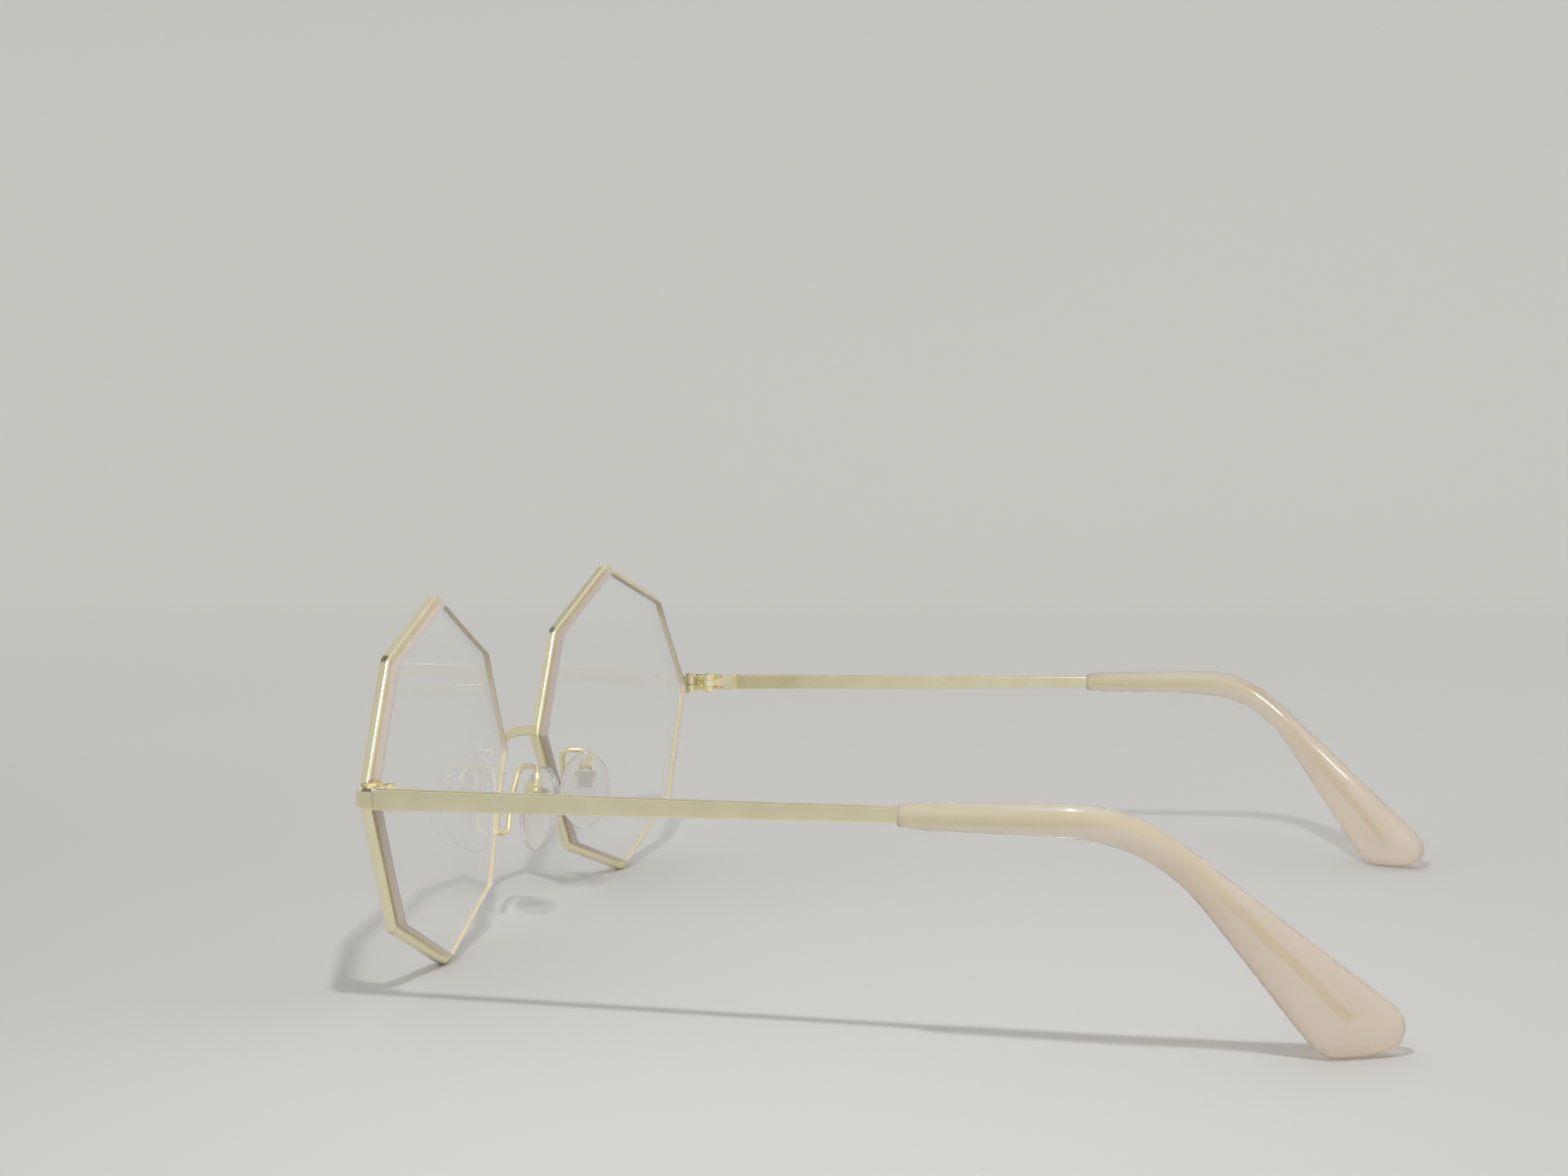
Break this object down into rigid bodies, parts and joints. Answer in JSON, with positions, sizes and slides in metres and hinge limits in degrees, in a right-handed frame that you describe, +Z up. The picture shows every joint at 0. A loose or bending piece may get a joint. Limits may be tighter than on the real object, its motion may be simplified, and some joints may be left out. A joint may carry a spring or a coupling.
{
  "type": "octagonal eyeglasses",
  "caption": "Full-rim eyeglasses with octagonal wire rims, clear lenses, rocking nose pads and folding temples with translucent tips.",
  "frame": {"origin": "middle of the bounding box at the height that the lower rim corners and the temple tips rest on", "axes": "+Z up; the lenses face -Y and the temples run back to +Y; +X is the wearer's left"},
  "size_m": [0.1402, 0.1402, 0.0536],
  "materials": {
    "gold": "pale gold plating, polished",
    "gold_fitting": "pale gold plating, polished, small fittings",
    "screw": "gold toned steel, turned",
    "lens": "clear coated plastic, frosted bevel",
    "acetate": "milky cream, translucent, polished",
    "silicone": "clear silicone",
    "pad_insert": "moulded insert"
  },
  "bodies": {
    "front": {"bridge": "gold", "left_rim": "gold", "left_lens": "lens", "left_end_piece": "gold", "left_upper_closing_block": "gold_fitting", "left_lower_closing_block": "gold_fitting", "left_closing_screw": "screw", "left_front_hinge": "gold_fitting", "left_hinge_screw": "screw", "left_pad_arm": "gold_fitting", "left_pad_box": "gold_fitting", "left_pad_screw": "screw", "right_rim": "gold", "right_lens": "lens", "right_end_piece": "gold", "right_upper_closing_block": "gold_fitting", "right_lower_closing_block": "gold_fitting", "right_closing_screw": "screw", "right_front_hinge": "gold_fitting", "right_hinge_screw": "screw", "right_pad_arm": "gold_fitting", "right_pad_box": "gold_fitting", "right_pad_screw": "screw"},
    "left_temple_body": {"left_temple": "gold", "left_temple_hinge": "gold_fitting", "left_temple_tip": "acetate"},
    "right_temple_body": {"right_temple": "gold", "right_temple_hinge": "gold_fitting", "right_temple_tip": "acetate"},
    "left_pad_body": {"left_nose_pad": "silicone", "left_pad_core": "pad_insert"},
    "right_pad_body": {"right_nose_pad": "silicone", "right_pad_core": "pad_insert"}
  },
  "joints": [
    {"name": "left_temple_fold", "type": "hinge", "parent": "front", "child": "left_temple_body", "pos_m": [0.06355, -0.05813, 0.0295], "axis": [0, 0, 1], "range_deg": [0, 87]},
    {"name": "right_temple_fold", "type": "hinge", "parent": "front", "child": "right_temple_body", "pos_m": [-0.06355, -0.05813, 0.0295], "axis": [0, 0, 1], "range_deg": [-72, 0]},
    {"name": "left_pad_rock", "type": "hinge", "parent": "front", "child": "left_pad_body", "pos_m": [0.01056, -0.0613, 0.02151], "axis": [0.3872, 0.918, -0.0858], "range_deg": [-6, 6]},
    {"name": "right_pad_rock", "type": "hinge", "parent": "front", "child": "right_pad_body", "pos_m": [-0.01056, -0.0613, 0.02151], "axis": [-0.3872, 0.918, -0.0858], "range_deg": [-6, 6]}
  ]
}
